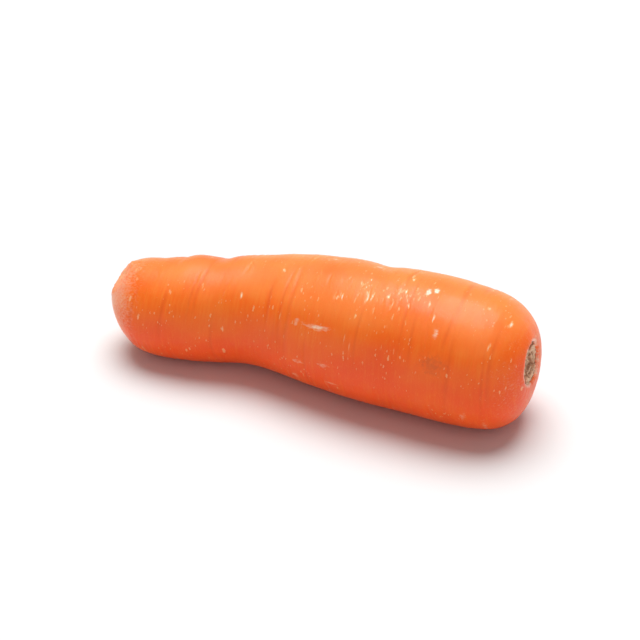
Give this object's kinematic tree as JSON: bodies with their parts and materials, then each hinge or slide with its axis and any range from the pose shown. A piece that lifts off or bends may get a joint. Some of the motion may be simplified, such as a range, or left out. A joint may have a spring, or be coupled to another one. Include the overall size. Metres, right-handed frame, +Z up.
{
  "type": "carrot",
  "caption": "Stout orange carrot root, topped and washed, slightly bent, with a dry leaf-stalk scar in its crown and a worn, slanting break at its tail. It lies on its belly.",
  "frame": {"origin": "middle of the bounding box, at the surface that the carrot lies on", "axes": "+X along the root, from the broken tail to the crown; +Z up, away from the surface"},
  "size_m": [0.1218, 0.0388, 0.0378],
  "materials": {
    "skin": "satin"
  },
  "bodies": {
    "root": {"carrot": "skin"}
  },
  "joints": []
}
